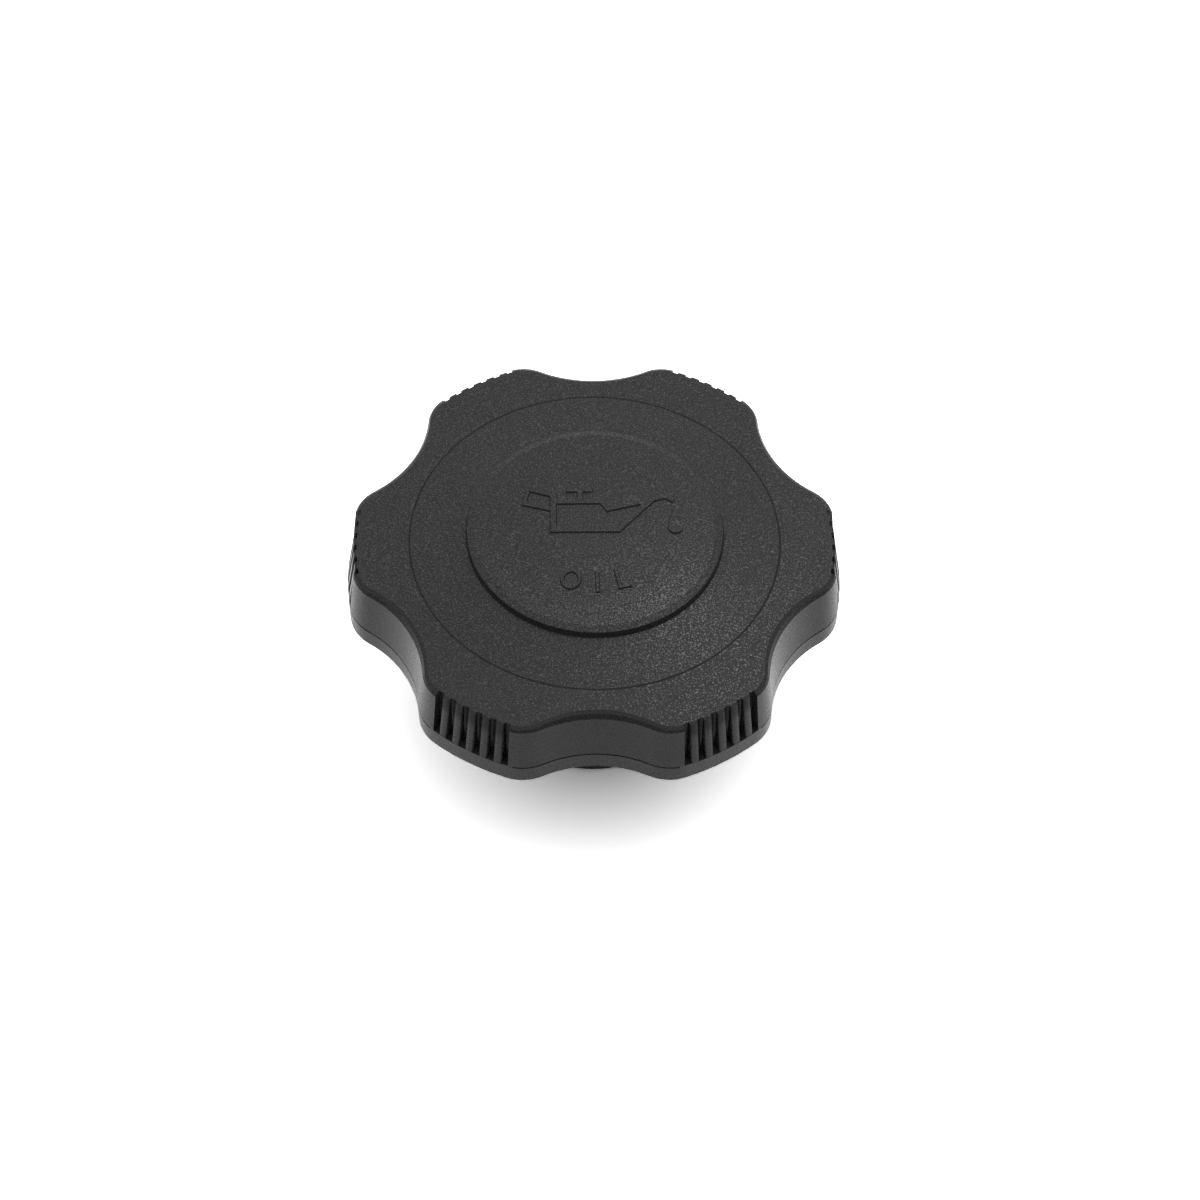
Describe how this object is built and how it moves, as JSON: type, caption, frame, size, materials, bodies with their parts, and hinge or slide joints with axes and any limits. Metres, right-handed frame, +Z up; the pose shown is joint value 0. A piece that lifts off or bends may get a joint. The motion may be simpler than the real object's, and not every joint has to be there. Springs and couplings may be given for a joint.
{
  "type": "oil filler cap",
  "caption": "Black moulded oil filler cap with a scalloped grip head, ribbed lobes, a raised centre disc and a hollow threaded stem with a flat rubber seal.",
  "frame": {"origin": "middle of the stem's open end, on which the cap stands, on the screw axis", "axes": "+Z up along the screw axis to the top of the grip head, +X through the middle of a lobe, -Y through the middle of the scallop that faces the picture's camera"},
  "size_m": [0.066, 0.0626, 0.0359],
  "materials": {
    "black_plastic": "fine moulded grain on the top, smoother on the walls",
    "black_rubber": "plain matt"
  },
  "bodies": {
    "root": {"cap_body": "black_plastic", "seal": "black_rubber"}
  },
  "joints": []
}
